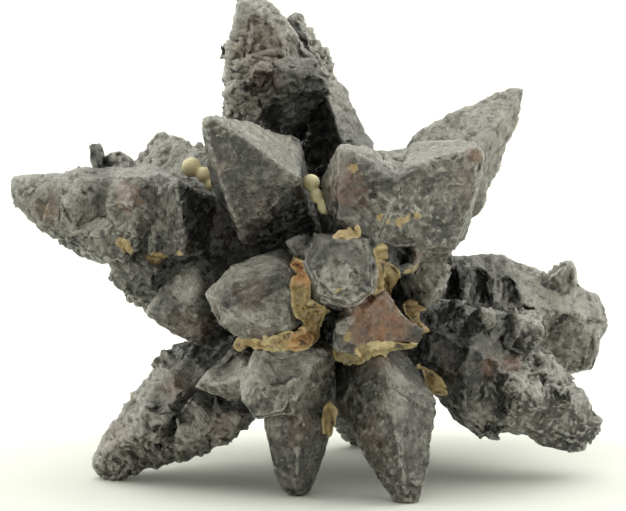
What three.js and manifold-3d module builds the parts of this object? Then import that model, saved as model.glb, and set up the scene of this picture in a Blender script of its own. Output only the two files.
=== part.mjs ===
// A glendonite: a star of steep four-sided crystals that grew outward from one heart as ikaite and
// have turned to calcite since. The dark star is one solid, because its crystals grew into each other.
// Yellow calcite filled the seams between their feet later, and each filling is a solid of its own.
// Millimetres, +Z up. The star stands on the worn tips of its lower crystals, on the plane z = 0,
// and the origin is on that plane, under the middle of its bounding box.

import * as THREE from "three";
import { mergeVertices } from "three/addons/utils/BufferGeometryUtils.js";
import Module from "manifold-3d";

const wasm = await Module();
wasm.setup();

// ---------------------------------------------------------------- driving dimensions

const HEART = new THREE.Vector3(0.65, -1.8, 13.0); // where the crystals' axes meet, above the floor
const CORE_RADIUS = 4.4; // solid middle that every crystal is rooted in
const ROOT_SHARE = 0.45; // width of a crystal at its root, of its width at the girdle
const LEDGE = {
  middle: 0.55, // where a ledge stands in its share of the way from girdle to tip
  spread: 0.25, // how far it strays from there
  spare: 0.35, // way kept free below the tip, of one ledge's share
  lip: 0.2, // share of the way that its overhanging lip takes
  step: 0.5, // how far the lip stands out and the next face starts back, of the bite
};
const FACE_BOW = 1.05; // how far a face's middle stands out, of a flat face's middle
const SPLIT_LEDGES = 4; // a crystal with this many ledges has its rough faces split down the middle
const SPLIT_ROUGH = 0.25; // the least roughness of a face that is split
const CORNER_SHARE = 0.4; // how deep a ledge bites a corner, of the roughness of each face beside it
const SWING = { base: 0.75, spread: 0.6, extra: 0.35 }; // how unevenly a ledge stands out round its ring
const SLIDE = 0.9; // how far a ledge's points shift along the axis, of its bite
const FADE_WIDTH = 0.4; // ledges fade out where the crystal is narrower than this, of its girdle
const CAP_HEIGHT = 0.45; // height of a worn tip, of its radius
const FILLING_GAP = 0.3; // between a calcite filling and the pocket that it sits in

// Every place below is counted from the heart. A crystal grows from its root to its tip and is widest
// at its girdle, whose corners are the feet of its ridges. power below 1 bulges it between girdle and
// tip, blunt is the radius of the worn tip and flat leaves that tip flat instead of domed. foot is the
// width at the root, of the width at the girdle. ledges counts the growth steps between girdle and tip,
// and rough is how deep they bite into the face after each corner; without them the faces are plain.
// The corners go round the axis either way, the first two of them less than half a turn apart.
const FRONT_CRYSTALS = [
  { name: "top_shaft", root: [-1.6, 2, 1.5], tip: [-4.6, 4, 17.5], power: 0.5, blunt: 1,
    corners: [[-7, -0.4, 13.2], [-4.6, -1.6, 12.8], [-3.4, 6, 11.6], [-7.2, 8, 11]],
    ledges: 2, rough: [0.5, 0.4, 0.4, 0.3] },
  { name: "top_cap", root: [-4.4, 3, 10.4], tip: [-5.7, 3.2, 20.8], power: 0.75, blunt: 0.9,
    corners: [[-7.2, 5.5, 14.4], [-6.8, -0.2, 14], [-2.8, -1.8, 13.9], [0.5, 2, 14.6], [-1.6, 7, 14.4]],
    ledges: 1, rough: [0.3, 0.2, 0.2, 0.3, 0.2] },
  { name: "top_back", root: [0.4, 2, 1.7], tip: [-2.6, 6, 19.3], power: 0.8, blunt: 0.5,
    corners: [[1.4, 0.4, 10.1], [3.6, 5, 9.5], [0.4, 9.5, 9.7], [-2.5, 6, 9.5]],
    ledges: 5, rough: [0.3, 0.4, 0.4, 0.4] },
  { name: "left", root: [-2, 0, 1], tip: [-21.4, -1, 7.4], foot: 0.8, power: 0.85, blunt: 0.6,
    corners: [[-11.2, -4.6, 8.6], [-12.5, 2.5, 8.8], [-13.4, 4, 2.3], [-12.4, -1.6, 0.2],
      [-11.2, -5.6, 4.8]],
    ledges: 4, rough: [0.3, 0.4, 0.4, 0.3, 0.3] },
  { name: "left_outer", root: [-12, -1, 5.4], tip: [-22.4, -1.2, 7.5], power: 0.8, blunt: 0.7,
    corners: [[-16.6, -3.8, 7.6], [-16.4, -1.6, 8.9], [-16.6, 2.4, 8.2], [-17, 2, 3.8], [-17.2, -1.6, 2.4],
      [-16.8, -4, 4.6]],
    ledges: 4, rough: [0.2, 0.3, 0.3, 0.3, 0.3, 0.3] },
  { name: "upper_left_front", root: [-1.4, -2, 1.4], tip: [-8.3, -9, 13.3], power: 0.85, blunt: 0.4,
    corners: [[-1.8, -10, 9.2], [-1.8, -2, 11], [-8, -2, 7.6], [-5.9, -8, 4.6]],
    ledges: 4, rough: [0.3, 0.2, 0.15, 0.02] },
  { name: "upper_right_front", root: [1.4, -1, 1.2], tip: [10.8, -8.5, 11.1], power: 0.8, blunt: 0.4,
    corners: [[5, -12, 9.7], [6.2, -4, 11.2], [9.9, -3.5, 4.2], [9, -8, 4.2], [3.6, -11, 5]],
    ledges: 2, rough: [0.1, 0.1, 0.1, 0.1, 0.05] },
  { name: "upper_front_bud", root: [1.4, -2, 1], tip: [0.9, -10.5, 11.6], power: 0.9, blunt: 0.3,
    corners: [[5.3, -12, 9], [4.9, -5, 10.4], [-0.6, -7, 8.2], [0.9, -12, 6.6], [3.6, -12, 5.2]],
    ledges: 2, rough: [0.1, 0.1, 0.1, 0.05, 0.05] },
  { name: "upper_front_bridge", root: [2, -1, 1.2], tip: [4.9, -8.4, 10.4], power: 0.4, blunt: 1.6,
    flat: true,
    corners: [[3, -10.4, 8.2], [7, -10.2, 8.4], [7.4, -3, 10.3], [2.4, -3, 9.8]],
    ledges: 0, rough: [0.1, 0.1, 0.1, 0.1] },
  { name: "upper_right_back", root: [0.7, 1, 0.2], tip: [14.1, 4, 14], power: 0.85, blunt: 0.5,
    corners: [[6.5, 4.5, 10.9], [11.2, 0, 10.1], [11.2, 4, 5], [7.7, 8, 6.2]],
    ledges: 4, rough: [0.1, 0.15, 0.2, 0.2] },
  { name: "front_left", root: [0, -3, 0.4], tip: [-8.4, -10.3, 1.3], power: 0.5, blunt: 1.5,
    corners: [[-2.6, -12.6, 3.2], [-3, -8, 4.2], [-3, -7, -2.7], [-4, -10.6, -2.6], [-2.5, -12.2, -0.9]],
    ledges: 2, rough: [0.15, 0.1, 0.15, 0.1, 0.02] },
  { name: "front_centre", root: [0.3, -3, 0.8], tip: [1, -14.4, 3.1], power: 0.42, blunt: 1.8,
    corners: [[2.7, -10, 5.3], [3.5, -10, 3.4], [3.4, -10, 1.1], [1.4, -10, -0.2], [-0.9, -10, 0.6],
      [-1.9, -10, 3.4], [-0.7, -10, 5.4]],
    ledges: 3, rough: [0.2, 0.15, 0.15, 0.15, 0.2, 0.15, 0.2] },
  { name: "left_small", root: [-3.6, -2, -0.4], tip: [-12.6, -6, -0.7], power: 0.85, blunt: 0.3,
    corners: [[-9, -9, 0.4], [-8.9, -5.5, 3.5], [-8.2, -2, -1.9], [-8.6, -6, -3.2]],
    ledges: 2, rough: [0.25, 0.2, 0.2, 0.25] },
  { name: "lower_left_front", root: [-2.5, -4, -1.9], tip: [-4.7, -13.8, -5.8], power: 0.75, blunt: 1.2,
    flat: true,
    corners: [[-4.8, -12, -2], [0.3, -10.5, -2.6], [0.8, -9.3, -4.4], [-0.3, -9.5, -6.8], [-4.4, -10, -7.3],
      [-6, -12.5, -4.9]],
    ledges: 2, rough: [0.25, 0.25, 0.2, 0.2, 0.1, 0.1] },
  { name: "lower_left_side", root: [-2.8, -4, -1.9], tip: [-9.1, -9, -5.4], power: 1, blunt: 0.2,
    corners: [[-6.5, -9.5, -2.3], [-5.2, -12, -4.5], [-6.1, -9, -6.7], [-7.1, -5, -5]],
    ledges: 1, rough: [0.02, 0.02, 0.1, 0.1] },
  { name: "front_right", root: [2.1, -3, -1], tip: [3.7, -12.2, -1], power: 0.3, blunt: 2.4, flat: true,
    corners: [[4.2, -11, 1.6], [5.4, -10.9, -0.2], [6.8, -10.5, -1.2], [6.5, -10.6, -2.2], [2.5, -11.2, -3],
      [0.4, -11, -2.5], [0.6, -11.3, -0.6]],
    ledges: 1, rough: [0.02, 0.02, 0.02, 0.02, 0.02, 0.02, 0.02] },
  { name: "lower_left", root: [-1.4, 0, -1.4], tip: [-16.5, -3.5, -12.5], power: 0.75, blunt: 0.5,
    corners: [[-10.4, -7.6, -6.4], [-11.6, -3, -4], [-10.5, 3, -9.2], [-7.8, -4, -11]],
    ledges: 6, rough: [0.35, 0.3, 0.3, 0.3] },
  { name: "lower_middle", root: [-0.7, -2, -1.9], tip: [-1.9, -9, -13.6], power: 0.6, blunt: 0.9,
    corners: [[-4.4, -9, -7.8], [-1.8, -12.3, -7.2], [0.6, -8.5, -8.2], [-1.9, -6, -8.3]],
    ledges: 3, rough: [0.1, 0.1, 0.1, 0.1] },
  { name: "lower_right", root: [1.8, -2, -1.5], tip: [5.5, -12, -13.6], power: 0.8, blunt: 0.9,
    corners: [[4.1, -13, -3.4], [7.8, -9.5, -6.3], [4.5, -6, -6.2], [0.7, -9, -6.7]],
    ledges: 4, rough: [0.1, 0.2, 0.2, 0.3] },
  { name: "right_front", root: [1.8, 0, -1.1], tip: [19.6, -3, -9.6], power: 0.68, blunt: 0.35,
    corners: [[9.8, -7.4, -2.8], [12.8, -2, -1.2], [11.3, 4, -6.5], [11.3, -3, -9.4], [10, -6.8, -8]],
    ledges: 5, rough: [0.35, 0.3, 0.3, 0.3, 0.3] },
  { name: "right_back", root: [1.8, 3, -0.1], tip: [21.2, 11, -4.2], power: 0.55, blunt: 1.3,
    corners: [[12.8, 5.6, -1.8], [12.6, 9, 1.4], [13.1, 13, -3.2], [12.9, 9, -5.6]],
    ledges: 5, rough: [0.4, 0.3, 0.3, 0.3] },
  { name: "right_small", root: [3.2, -2, 0.3], tip: [8.7, -5.5, 3.9], power: 0.6, blunt: 0.6,
    corners: [[6.2, -6, 2.4], [7.2, -6.8, -0.4], [8.3, -4, -0.1], [8, -6.5, 2.9]],
    ledges: 1, rough: [0.1, 0.1, 0.1, 0.1] },
  { name: "pit_wall", root: [2.5, -3, 1.2], tip: [5.5, -9.6, 3.6], power: 0.3, blunt: 1.4, flat: true,
    corners: [[3.7, -8.9, 4.8], [6.2, -8.3, 4.9], [6.9, -8.1, 3.7], [6.4, -8.3, 2.5], [4.6, -8.8, 2.2],
      [3.9, -9, 3.2]],
    ledges: 1, rough: [0.1, 0.1, 0.1, 0.1, 0.1, 0.1] },
];

// Smaller crystals on the flanks of the long ones, each grown parallel to its parent, in the same form.
const SPURS = [
  { name: "left_spur_low", root: [-13, -1, 3.4], tip: [-18.3, -4.5, 4.2], power: 1, blunt: 0.2,
    corners: [[-15.8, -4.4, 6], [-14.5, -5.8, 5.6], [-14.3, -4.6, 2.4], [-16, -1, 2.2]],
    ledges: 1, rough: [0.05, 0.1, 0.1, 0.1] },
  { name: "left_spur_middle", root: [-11, -2, 5], tip: [-15.4, -5.6, 7], power: 0.9, blunt: 0.3,
    corners: [[-14.2, -6, 9], [-13.2, -7.8, 7], [-13.6, -5, 2.7], [-15, -3, 5]],
    ledges: 1, rough: [0.2, 0.2, 0.2, 0.1] },
  { name: "left_spur_inner", root: [-7.5, -2, 5], tip: [-12, -5.5, 6.2], power: 0.9, blunt: 0.4,
    corners: [[-10.3, -8.2, 9], [-9.9, -7.6, 3.6], [-11.5, -4, 3], [-11.7, -4, 9]],
    ledges: 1, rough: [0.1, 0.2, 0.2, 0.2] },
  { name: "left_spur_outer", root: [-15, -1, 5.6], tip: [-18.4, -4.6, 6.2], power: 0.9, blunt: 0.3,
    corners: [[-18.6, -3.4, 7.9], [-17.2, -4.6, 7.4], [-17.4, -4, 4.6], [-18.6, -2.4, 4.6]] },
  { name: "left_spur_tip", root: [-18, -0.8, 6], tip: [-20.6, -3.2, 6.6], power: 0.9, blunt: 0.2,
    corners: [[-20.7, -2.2, 7.7], [-19.6, -3.2, 7.6], [-19.8, -2.4, 4.6], [-21, -1.6, 5.6]] },
  { name: "left_spur_under", root: [-10, -1, 2.4], tip: [-15.1, -2, 0.7], power: 0.8, blunt: 0.6,
    corners: [[-14.4, -4, 3.2], [-12, -5, 2.4], [-12, -2, -0.6], [-13.8, 1, 2.4]],
    ledges: 1, rough: [0.1, 0.1, 0.2, 0.2] },
  { name: "left_knob_far", root: [-15.6, 2.4, 7], tip: [-16.4, 2.6, 10.3], power: 0.5, blunt: 0.4,
    corners: [[-16.9, 2.4, 9], [-16.3, 1.6, 9], [-15.6, 2.6, 9], [-16.3, 3.4, 9]] },
  { name: "left_knob_near", root: [-13.6, 2.2, 6.6], tip: [-15, 2.4, 9.7], power: 0.6, blunt: 0.6,
    corners: [[-15.6, 2.4, 8.4], [-14.6, 1.2, 8.6], [-13.2, 2.6, 8.4], [-14.4, 3.8, 8.4]] },
  { name: "top_block_right", root: [-3.4, 3, 13.4], tip: [-2.2, -2.4, 15.4], power: 0.5, blunt: 1,
    flat: true,
    corners: [[-3.6, -1.2, 15.4], [-2.9, -0.9, 16.4], [0.2, 0, 15.2], [0.6, 0.4, 13.9], [-3.4, -1, 13.7]] },
  { name: "top_block_middle", root: [-4.6, 2, 14.8], tip: [-4.6, -2.1, 15.6], power: 0.5, blunt: 0.5,
    corners: [[-5.3, -1, 15.2], [-4.7, -1, 16.4], [-3.7, -1, 15.8], [-4.3, -1, 14.8]] },
  { name: "top_block_left", root: [-6, 2, 13.8], tip: [-5.8, -2, 14.6], power: 0.6, blunt: 0.5,
    corners: [[-6.8, -0.8, 14.2], [-5.8, -0.9, 15.3], [-4.7, -1, 14.6], [-5.6, -1, 13.7]] },
  { name: "top_knob_left", root: [-5.8, 4.6, 15.6], tip: [-7.6, 5.2, 16.9], power: 0.6, blunt: 0.4,
    corners: [[-7, 4.2, 17], [-6.4, 3.9, 15.8], [-7, 5.8, 15.8]] },
  { name: "top_knob_right", root: [-1.6, 5.4, 15.4], tip: [-0.5, 5.4, 17.3], power: 0.4, blunt: 0.7,
    flat: true,
    corners: [[-1.8, 4.4, 16.2], [-0.1, 4.4, 15.6], [0.2, 6.2, 15.6], [-1.8, 6.4, 16]] },
  { name: "top_knob_back", root: [-2.4, 5.4, 16.4], tip: [-1.5, 5.6, 18.6], power: 0.6, blunt: 0.5,
    corners: [[-2.4, 4.8, 17.4], [-1.2, 4.8, 17.2], [-1, 6.4, 17.2], [-2.4, 6.6, 17.4]] },
  { name: "lower_left_spur_foot", root: [-13.6, -3.6, -10.6], tip: [-14.5, -4.4, -13.3], power: 0.5,
    blunt: 0.4,
    corners: [[-14.9, -4.4, -12.4], [-14.3, -4.9, -12.3], [-13.8, -4.2, -12.4], [-14.4, -3.8, -12.4]] },
  { name: "lower_left_spur_outer", root: [-9, -3, -7], tip: [-13.9, -7, -9.4], power: 0.9, blunt: 0.4,
    corners: [[-12.6, -7, -7], [-11.4, -8.3, -8.4], [-11.6, -6, -10.6], [-12.6, -3, -8]],
    ledges: 1, rough: [0.1, 0.2, 0.2, 0.1] },
  { name: "lower_left_spur_inner", root: [-6, -3, -6], tip: [-10.6, -7.6, -9.8], power: 0.8, blunt: 0.6,
    corners: [[-9.6, -8, -6.6], [-7.6, -8.4, -8], [-8, -6, -10.6], [-10, -3.4, -9.6]],
    ledges: 1, rough: [0.1, 0.1, 0.2, 0.2] },
  { name: "lower_left_spur_near", root: [-4, -4, -5], tip: [-7.5, -8, -9.9], power: 0.8, blunt: 0.7,
    corners: [[-8.2, -7.6, -7.2], [-5.6, -8.8, -7.6], [-5, -6, -8.4], [-7.2, -4.4, -9.2]],
    ledges: 1, rough: [0.2, 0.2, 0.2, 0.2] },
  { name: "centre_lobe", root: [0, -6, 2], tip: [-2.1, -11.4, 4.6], power: 0.4, blunt: 0.6,
    corners: [[-1, -9, 5.2], [-2.6, -9, 4.4], [-1.6, -9.6, 2.8], [0.4, -9, 3.6]] },
  { name: "right_spur_low", root: [11, -3, -5], tip: [15.1, -8, -7.2], power: 1, blunt: 0.2,
    corners: [[12.7, -8.4, -4.7], [15.6, -6.2, -4.9], [14.2, -4, -8.6], [11.6, -7, -7.8]],
    ledges: 1, rough: [0.1, 0.1, 0.2, 0.2] },
  { name: "right_spur_tip", root: [15, -3, -6.4], tip: [17.3, -6.2, -7], power: 1, blunt: 0.2,
    corners: [[16.2, -6, -5.9], [17.4, -4.6, -6.2], [16.8, -4, -7.8], [15.7, -5.4, -7.4]] },
  { name: "right_spur_top", root: [11.6, -3, -5.4], tip: [14.2, -4.4, -0.7], power: 0.35, blunt: 0.7,
    flat: true,
    corners: [[13.2, -5.8, -2.4], [15.2, -5.2, -2.8], [15.4, -2.4, -2.2], [13, -2.8, -1.4]] },
  { name: "right_tooth_outer", root: [9.4, -4, -3], tip: [11.2, -5, -0.4], power: 0.5, blunt: 0.5,
    corners: [[10.6, -6, -1.6], [12, -5.4, -1.8], [11.6, -3.6, -1.4], [10.2, -4, -1]] },
  { name: "right_tooth_inner", root: [7.6, -4, -2.6], tip: [9.2, -5, 0.3], power: 0.5, blunt: 0.5,
    corners: [[8.5, -6, -1], [9.9, -5.8, -1], [9.8, -3.6, -0.8], [8.4, -4, -0.6]] },
  { name: "right_spur_under", root: [6, -3, -4], tip: [11.8, -5.6, -10], power: 0.5, blunt: 0.7,
    corners: [[9.2, -7, -7.8], [10.8, -7, -8.6], [12, -4, -9], [9.4, -3, -9]],
    ledges: 1, rough: [0.2, 0.2, 0.2, 0.2] },
  { name: "right_lip", root: [13, -3, -7.4], tip: [18.8, -3.4, -10.4], power: 0.4, blunt: 0.5, flat: true,
    corners: [[15, -4.8, -9.2], [15.4, -3.6, -8.6], [15.4, -1.6, -9.8], [15, -3.6, -10.6]] },
  { name: "right_back_knob", root: [16.4, 9.6, -1.6], tip: [18.2, 9.8, 0.7], power: 0.7, blunt: 0.3,
    corners: [[16.8, 8.8, -0.2], [18.4, 9, -1], [18.6, 10.6, -1], [16.6, 11, 0]] },
  { name: "right_back_end", root: [15, 9.6, -4], tip: [20.5, 10.4, -5.8], power: 0.5, blunt: 1.1,
    corners: [[18.6, 8.4, -3.6], [18.8, 10.6, -2.4], [18.4, 12, -5], [18, 9.8, -7.7]],
    ledges: 1, rough: [0.2, 0.2, 0.2, 0.2] },
];

// The crystals on the far side, given by the reach of their ridges instead of by corners.
const REAR_CRYSTALS = [
  { name: "back_left", root: [-1, 3, 1], tip: [-13.4, 15.2, 7.8], reach: [4, 3.6, 3.6, 3.6], turn: 0,
    power: 0.42, blunt: 1.5, ledges: 3, rough: [0.3, 0.3, 0.3, 0.3] },
  { name: "back_top", root: [0, 2, 1], tip: [-1.6, 13, 11], reach: [3.8, 3.2, 3.6, 3.4], turn: 0,
    power: 0.8, blunt: 0.5, ledges: 3, rough: [0.2, 0.1, 0.1, 0.2] },
  { name: "back_middle", root: [0, 2, 0], tip: [-4, 18, 0.6], reach: [4, 3.8, 3.8, 3.6], turn: 40,
    power: 0.75, blunt: 0.6, ledges: 3, rough: [0.1, 0.3, 0.3, 0.2] },
  { name: "back_right", root: [1, 2, 0], tip: [8.6, 16, 4.6], reach: [3.6, 3.2, 3.6, 3.4], turn: 5,
    power: 0.8, blunt: 0.5, ledges: 3, rough: [0.2, 0.2, 0.1, 0.3] },
  { name: "back_lower_left", root: [0, 1, -1], tip: [-8.6, 13.4, -8], reach: [3.6, 3.8, 3.4, 3.4], turn: 20,
    power: 0.8, blunt: 0.5, ledges: 3, rough: [0.4, 0.3, 0.3, 0.4] },
  { name: "back_lower_right", root: [1, 1, 0], tip: [11, 14.4, -8], reach: [3.2, 3.2, 3.4, 3.4], turn: 0,
    power: 0.8, blunt: 0.5, ledges: 3, rough: [0.3, 0.3, 0.3, 0.3] },
  { name: "back_foot", root: [0, 1, -1], tip: [3.4, 10.5, -13.6], reach: [3.2, 3, 3.2, 3], turn: 50,
    power: 0.75, blunt: 0.8, ledges: 3, rough: [0.2, 0.1, 0.3, 0.1] },
  { name: "left_rear", root: [-1, 1, -0.5], tip: [-14.6, 8.6, -1.8], reach: [3.2, 3.4, 3, 3.2], turn: 30,
    power: 0.8, blunt: 0.4, ledges: 3, rough: [0.3, 0.3, 0.3, 0.3] },
];
const GROUND = { width: 80, depth: 10 }; // block below z = 0 that wears the feet flat
const REAR_GIRDLE = 0.48; // share of a rear crystal's length where it is widest

// Hollows bitten out of the star, each a crystal's shape sunk tip first into the stone.
const HOLLOWS = [
  { name: "shoulder_groove", root: [8, -15, 11.6], tip: [7.4, -10.2, 9.9], power: 1, blunt: 0.2,
    corners: [[6.4, -11.9, 10.1], [7.3, -10.4, 11.6], [10, -10, 11.6], [7.6, -11.6, 9]] },
  { name: "top_recess", root: [-4, -6, 17.8], tip: [-4.3, 1.4, 17.3], power: 0.5, blunt: 0.9, flat: true,
    corners: [[-6.2, -0.7, 16.4], [-5.4, 0.9, 20], [-3.2, 0.8, 18.9], [-2.1, -0.4, 16.6]] },
  { name: "right_back_recess_inner", root: [8.6, -1, 0.4], tip: [9.4, 7.4, -0.2], power: 0.5, blunt: 0.4,
    corners: [[7.8, 4.6, 1], [9.7, 4.6, 1.4], [10, 4.4, -2.6], [7.8, 4.4, -2.4]] },
  { name: "right_back_recess_middle", root: [10.6, -1, 0.4], tip: [11.4, 7.8, -0.4], power: 0.5, blunt: 0.4,
    corners: [[10.2, 4.8, 1.3], [11.9, 5, 0.9], [12.3, 4.5, -2.8], [10.4, 4.5, -2.8]] },
  { name: "right_back_recess_outer", root: [13, -1, 0], tip: [13.4, 8.2, -0.8], power: 0.5, blunt: 0.4,
    corners: [[12.4, 5.2, 0.7], [14.2, 5.6, 0.1], [14.9, 5, -3], [12.8, 4.7, -3]] },
  { name: "pit", root: [5.5, -12, 4], tip: [5.5, -7.2, 3.6], power: 0.5, blunt: 0.3,
    corners: [[6.3, -9.2, 3.9], [5.9, -9.2, 4.6], [5, -9.2, 4.5], [4.7, -9.2, 3.7], [5.1, -9.2, 3],
      [6, -9.2, 3.1]] },
];

// The calcite fillings. Each is one or more runs that follow a seam, or beads grown together. A run is a
// chain of places with the half width of the seam there, and a bead is its place and its radius.
const FILLINGS = [
  { name: "calcite_seam", runs: [
    [[-1.9, -9.5, 3.7, 0.28], [-1.7, -11.1, 3.3, 0.4], [-1.5, -11.7, 2.7, 0.45], [-1.8, -11.7, 1.9, 0.7],
      [-1.9, -11.4, 1.1, 0.85], [-1.5, -10.9, 0.3, 0.62], [-0.6, -10.1, -0.3, 0.85], [-0.8, -9.7, -1.2, 0.7],
      [-1.1, -9.9, -1.8, 0.55]],
    [[-6.1, -9.7, -2.4, 0.2], [-5.3, -11.2, -2.2, 0.27], [-4.5, -11.9, -2, 0.28], [-3.6, -11.9, -2, 0.42],
      [-2.7, -11.7, -1.9, 0.5], [-1.7, -10.8, -1.9, 0.55], [-1.1, -10, -1.7, 0.6]]] },
  { name: "calcite_band", runs: [
    [[0.8, -9.4, -3, 0.4], [1.4, -10, -3.3, 0.76], [2.2, -10.4, -3.1, 0.55], [2.8, -11.1, -2.6, 0.34],
      [3.6, -11.2, -2.4, 0.36], [4.6, -11, -2.5, 0.36], [5.6, -10.7, -2.6, 0.4], [6.4, -10.5, -2.5, 0.24]]] },
  { name: "calcite_net", runs: [
    [[3.5, -10.5, 4.6, 0.34], [4, -10.1, 4.1, 0.48], [3.9, -10, 3.4, 0.42], [4.3, -9.7, 2.6, 0.62],
      [4.5, -8.2, 1.6, 0.56], [4.8, -7.1, 0.6, 0.42]],
    [[4.1, -9.8, 2.9, 0.48], [3.5, -10.4, 2.2, 0.36], [3.4, -10.6, 1.5, 0.3]]] },
  { name: "calcite_spot", runs: [
    [[5.9, -6.7, -0.1, 0.42], [6.3, -6.6, -0.7, 0.5], [6.9, -6.5, -1.5, 0.42], [7.2, -6.4, -2.1, 0.3]]] },
  { name: "calcite_cap", runs: [
    [[0.8, -12.7, 5.3, 0.25], [1.3, -12.6, 5.6, 0.36], [1.7, -12.5, 5.8, 0.3], [2.3, -12.2, 6, 0.28]]] },
  { name: "calcite_strip", runs: [
    [[7, -7, -4.6, 0.25], [7.5, -6.6, -5.3, 0.38], [7.9, -6.6, -6, 0.42], [8.2, -6.6, -6.6, 0.25]]] },
  { name: "calcite_low",
    runs: [[[0.3, -9.2, -7.4, 0.36], [0.4, -9.4, -8.3, 0.5], [0.4, -9.6, -9.2, 0.36]]] },
  { name: "calcite_beads", beads: [[-1, -7.2, 8.6, 0.62], [-0.6, -7.4, 7.7, 0.52], [0, -7.7, 7, 0.56]] },
  { name: "calcite_beads_left",
    beads: [[-9.5, 0.15, 8.8, 0.74], [-8.6, -0.25, 8.3, 0.6], [-8.1, -0.4, 7.6, 0.5]] },
];
const RUN_SIDES = 6; // points round a run
const RUN_DEPTH = 0.6; // how deep a run is, of its width
const RUN_END = 0.8; // how far a run tapers on past its last place, of its half width there

// ---------------------------------------------------------------- shared helpers

const vector = ([x, y, z]) => new THREE.Vector3(x, y, z);

// Repeatable noise in -1..1 for whole-number keys.
function noise(...keys) {
  const mixed = keys.reduce((sum, key, place) => sum + key * [127.1, 311.7, 74.7][place], 0);
  const wave = Math.sin(mixed) * 43758.5453;
  return 2 * (wave - Math.floor(wave)) - 1;
}

// A solid from a three.js geometry whose shared vertices are merged by place.
function solidOf(geometry) {
  const bare = new THREE.BufferGeometry();
  bare.setAttribute("position", geometry.getAttribute("position"));
  bare.setIndex(geometry.getIndex());
  const merged = mergeVertices(bare, 1e-4);
  return new wasm.Manifold(
    new wasm.Mesh({
      numProp: 3,
      vertProperties: merged.attributes.position.array,
      triVerts: new Uint32Array(merged.index.array),
    }),
  );
}

function geometryOf(solid) {
  const { vertProperties, triVerts } = solid.getMesh();
  const geometry = new THREE.BufferGeometry();
  geometry.setAttribute("position", new THREE.BufferAttribute(vertProperties, 3));
  geometry.setIndex(new THREE.BufferAttribute(triVerts, 1));
  return geometry;
}

// A closed skin over rings of points, all of one length, with a point at each end.
function skin(rings, firstPole, lastPole) {
  const size = rings[0].length;
  const points = [...rings.flat(), firstPole, lastPole];
  const first = points.length - 2;
  const last = points.length - 1;
  const index = [];
  for (let i = 0; i < size; i++) {
    const j = (i + 1) % size;
    index.push(first, j, i);
    for (let r = 0; r + 1 < rings.length; r++) {
      const [a, b, c, d] = [r * size + i, r * size + j, (r + 1) * size + j, (r + 1) * size + i];
      index.push(a, b, c, a, c, d);
    }
    index.push(last, (rings.length - 1) * size + i, (rings.length - 1) * size + j);
  }
  return new THREE.BufferGeometry().setFromPoints(points).setIndex(index);
}

// ---------------------------------------------------------------- one crystal

// A rear crystal's corners, spaced evenly round its axis and turned from straight up by `turn` degrees.
function evenCorners({ root, tip, reach, turn }) {
  const [start, end] = [vector(root), vector(tip)];
  const axis = end.clone().sub(start).normalize();
  const first = new THREE.Vector3(0, 0, 1).projectOnPlane(axis).normalize();
  const middle = start.clone().lerp(end, REAR_GIRDLE);
  return reach.map((far, i) => {
    const angle = THREE.MathUtils.degToRad(turn) + (i * 2 * Math.PI) / reach.length;
    return middle.clone().addScaledVector(first.clone().applyAxisAngle(axis, angle), far).toArray();
  });
}

// The points of a crystal's section as offsets from its axis: each corner and, where ledges break the
// faces, the middle of the face after it. bite is how deep the ledges cut there.
function sectionPoints({ corners, rough = [], ledges = 0 }, centre, axis) {
  const offsets = corners.map((corner) => vector(corner).sub(centre));
  const winding = new THREE.Vector3().crossVectors(offsets[0], offsets[1]).dot(axis);
  const order = offsets.map((_, i) => i);
  if (winding < 0) order.reverse();
  const face = (i) => (winding < 0 ? (i + order.length - 1) % order.length : i);
  return order.flatMap((i, k) => {
    const next = offsets[order[(k + 1) % order.length]];
    const before = order[(k + order.length - 1) % order.length];
    const [ahead, behind] = [rough[face(i)] ?? 0, rough[face(before)] ?? 0];
    const corner = { offset: offsets[i], bite: CORNER_SHARE * (ahead + behind) };
    if (ledges < SPLIT_LEDGES || ahead < SPLIT_ROUGH) return [corner];
    const middle = offsets[i].clone().add(next).multiplyScalar(FACE_BOW / 2);
    return [corner, { offset: middle, bite: ahead }];
  });
}

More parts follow.
